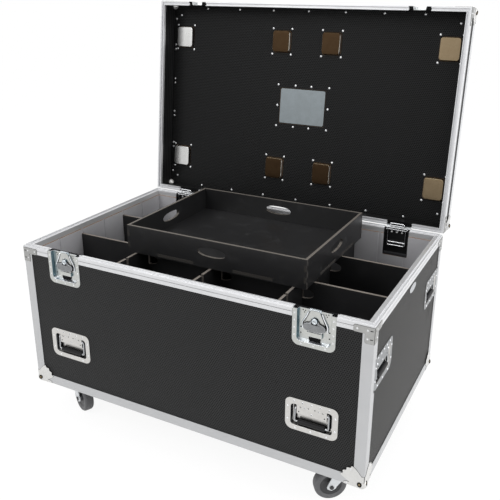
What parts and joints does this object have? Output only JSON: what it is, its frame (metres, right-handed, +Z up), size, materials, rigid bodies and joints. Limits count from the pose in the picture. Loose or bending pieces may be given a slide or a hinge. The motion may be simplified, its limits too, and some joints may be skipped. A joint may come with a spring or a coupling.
{
  "type": "road case",
  "caption": "Black plywood road case in aluminium extrusions, with its lid open, recessed latches and handles, swivel casters, divider planks and a loose tray.",
  "frame": {"origin": "centre of the underside of the base's floor panel", "axes": "+Z up, +X to the right when facing the latches, -Y towards the latches and +Y towards the hinges"},
  "size_m": [1.2316, 0.9568, 1.4077],
  "materials": {
    "panel": "black textured film on birch plywood",
    "lining": "satin grey film on plywood",
    "extrusion": "satin mill finish",
    "zinc": "bright zinc plate on pressed steel",
    "chrome": "polished",
    "steel_black": "black paint",
    "rubber_black": "matt moulded grip on a zinc plated wire",
    "label_steel": "blue grey passivated steel",
    "badge": "satin, left blank",
    "divider": "black film on plywood with bare sawn edges",
    "tyre": "grey elastic tread"
  },
  "bodies": {
    "case_base": {"base_floor_panel": "panel", "base_front_wall": "panel", "base_rear_wall": "panel", "base_left_wall": "panel", "base_right_wall": "panel", "wall_lining": "lining", "base_frame": "extrusion", "base_rim": "extrusion", "latch_dish_left": "zinc", "latch_dish_right": "zinc", "handle_dish_front_left": "zinc", "handle_dish_front_right": "zinc", "handle_dish_right_front": "zinc", "handle_dish_right_rear": "zinc", "handle_dish_left_front": "zinc", "handle_dish_left_rear": "zinc", "hinge_dish_left": "steel_black", "hinge_dish_right": "steel_black", "hinge_base_leaf_left": "zinc", "hinge_base_leaf_right": "zinc", "caster_plate_front_left": "zinc", "caster_plate_front_right": "zinc", "caster_plate_rear_left": "zinc", "caster_plate_rear_right": "zinc", "side_badge": "badge"},
    "lid": {"lid_top_panel": "panel", "lid_walls": "panel", "lid_frame": "extrusion", "lid_rim": "extrusion", "label_dish": "label_steel", "latch_keeper_left": "zinc", "latch_keeper_right": "zinc", "hinge_lid_leaf_left": "zinc", "hinge_lid_leaf_right": "zinc"},
    "latch_boss_left": {"latch_boss_left": "chrome"},
    "latch_wing_left": {"latch_wing_left": "zinc"},
    "latch_hook_left": {"latch_hook_left": "zinc"},
    "latch_boss_right": {"latch_boss_right": "chrome"},
    "latch_wing_right": {"latch_wing_right": "zinc"},
    "latch_hook_right": {"latch_hook_right": "zinc"},
    "handle_front_left": {"handle_bail_front_left": "rubber_black"},
    "handle_front_right": {"handle_bail_front_right": "rubber_black"},
    "handle_right_front": {"handle_bail_right_front": "rubber_black"},
    "handle_right_rear": {"handle_bail_right_rear": "rubber_black"},
    "handle_left_front": {"handle_bail_left_front": "rubber_black"},
    "handle_left_rear": {"handle_bail_left_rear": "rubber_black"},
    "caster_fork_front_left": {"caster_fork_front_left": "zinc"},
    "caster_wheel_front_left": {"caster_wheel_front_left": "tyre"},
    "caster_fork_front_right": {"caster_fork_front_right": "zinc"},
    "caster_wheel_front_right": {"caster_wheel_front_right": "tyre"},
    "caster_fork_rear_left": {"caster_fork_rear_left": "zinc"},
    "caster_wheel_rear_left": {"caster_wheel_rear_left": "tyre"},
    "caster_fork_rear_right": {"caster_fork_rear_right": "zinc"},
    "caster_wheel_rear_right": {"caster_wheel_rear_right": "tyre"},
    "dividers": {"long_divider_front": "divider", "long_divider_rear": "divider", "cross_divider_left": "divider", "cross_divider_middle": "divider", "cross_divider_right": "divider"},
    "tray": {"tray": "divider"}
  },
  "joints": [
    {"name": "lid_hinge", "type": "hinge", "parent": "case_base", "child": "lid", "pos_m": [0, 0.3845, 0.5143], "axis": [-1, 0, 0], "range_deg": [-96.3, 0]},
    {"name": "latch_twist_left", "type": "hinge", "parent": "case_base", "child": "latch_boss_left", "pos_m": [-0.4395, -0.3745, 0.484], "axis": [0, 1, 0], "range_deg": [0, 184]},
    {"name": "latch_fold_left", "type": "hinge", "parent": "latch_boss_left", "child": "latch_wing_left", "pos_m": [-0.4395, -0.3745, 0.484], "axis": [-1, 0, 0], "range_deg": [0, 90]},
    {"name": "latch_draw_left", "type": "slide", "parent": "case_base", "child": "latch_hook_left", "axis": [0, 0, 1], "range_m": [0, 0.012]},
    {"name": "latch_twist_right", "type": "hinge", "parent": "case_base", "child": "latch_boss_right", "pos_m": [0.4395, -0.3745, 0.484], "axis": [0, 1, 0], "range_deg": [0, 184]},
    {"name": "latch_fold_right", "type": "hinge", "parent": "latch_boss_right", "child": "latch_wing_right", "pos_m": [0.4395, -0.3745, 0.484], "axis": [-1, 0, 0], "range_deg": [0, 90]},
    {"name": "latch_draw_right", "type": "slide", "parent": "case_base", "child": "latch_hook_right", "axis": [0, 0, 1], "range_m": [0, 0.012]},
    {"name": "handle_swing_front_left", "type": "hinge", "parent": "case_base", "child": "handle_front_left", "pos_m": [-0.442, -0.374, 0.198], "axis": [-1, 0, 0], "range_deg": [0, 90], "stiffness_Nm_per_rad": 0.25},
    {"name": "handle_swing_front_right", "type": "hinge", "parent": "case_base", "child": "handle_front_right", "pos_m": [0.442, -0.374, 0.198], "axis": [-1, 0, 0], "range_deg": [0, 90], "stiffness_Nm_per_rad": 0.25},
    {"name": "handle_swing_right_front", "type": "hinge", "parent": "case_base", "child": "handle_right_front", "pos_m": [0.6025, -0.274, 0.37], "axis": [0, -1, 0], "range_deg": [0, 90], "stiffness_Nm_per_rad": 0.25},
    {"name": "handle_swing_right_rear", "type": "hinge", "parent": "case_base", "child": "handle_right_rear", "pos_m": [0.6025, 0.274, 0.37], "axis": [0, -1, 0], "range_deg": [0, 90], "stiffness_Nm_per_rad": 0.25},
    {"name": "handle_swing_left_front", "type": "hinge", "parent": "case_base", "child": "handle_left_front", "pos_m": [-0.6025, -0.274, 0.37], "axis": [0, 1, 0], "range_deg": [0, 90], "stiffness_Nm_per_rad": 0.25},
    {"name": "handle_swing_left_rear", "type": "hinge", "parent": "case_base", "child": "handle_left_rear", "pos_m": [-0.6025, 0.274, 0.37], "axis": [0, 1, 0], "range_deg": [0, 90], "stiffness_Nm_per_rad": 0.25},
    {"name": "caster_swivel_front_left", "type": "hinge", "parent": "case_base", "child": "caster_fork_front_left", "pos_m": [-0.5145, -0.285, -0.02], "axis": [0, 0, 1], "continuous": true},
    {"name": "caster_roll_front_left", "type": "hinge", "parent": "caster_fork_front_left", "child": "caster_wheel_front_left", "pos_m": [-0.47855, -0.30253, -0.0811], "axis": [0.4384, 0.8988, 0], "continuous": true},
    {"name": "caster_swivel_front_right", "type": "hinge", "parent": "case_base", "child": "caster_fork_front_right", "pos_m": [0.5145, -0.285, -0.02], "axis": [0, 0, 1], "continuous": true},
    {"name": "caster_roll_front_right", "type": "hinge", "parent": "caster_fork_front_right", "child": "caster_wheel_front_right", "pos_m": [0.4821, -0.30845, -0.0811], "axis": [0.5864, -0.81, 0], "continuous": true},
    {"name": "caster_swivel_rear_left", "type": "hinge", "parent": "case_base", "child": "caster_fork_rear_left", "pos_m": [-0.5145, 0.285, -0.02], "axis": [0, 0, 1], "continuous": true},
    {"name": "caster_roll_rear_left", "type": "hinge", "parent": "caster_fork_rear_left", "child": "caster_wheel_rear_left", "pos_m": [-0.54914, 0.305, -0.0811], "axis": [-0.5, -0.866, 0], "continuous": true},
    {"name": "caster_swivel_rear_right", "type": "hinge", "parent": "case_base", "child": "caster_fork_rear_right", "pos_m": [0.5145, 0.285, -0.02], "axis": [0, 0, 1], "continuous": true},
    {"name": "caster_roll_rear_right", "type": "hinge", "parent": "caster_fork_rear_right", "child": "caster_wheel_rear_right", "pos_m": [0.47605, 0.27398, -0.0811], "axis": [0.2756, -0.9613, 0], "continuous": true},
    {"name": "dividers_lift", "type": "slide", "parent": "case_base", "child": "dividers", "axis": [0, 0, 1], "range_m": [0, 0.52]},
    {"name": "tray_lift", "type": "slide", "parent": "dividers", "child": "tray", "axis": [0, 0, 1], "range_m": [0, 0.25]}
  ],
  "couplings": [
    {"joint": "latch_twist_left", "follows": "latch_draw_left", "rad_per_m": 261.8},
    {"joint": "latch_twist_right", "follows": "latch_draw_right", "rad_per_m": 261.8}
  ]
}
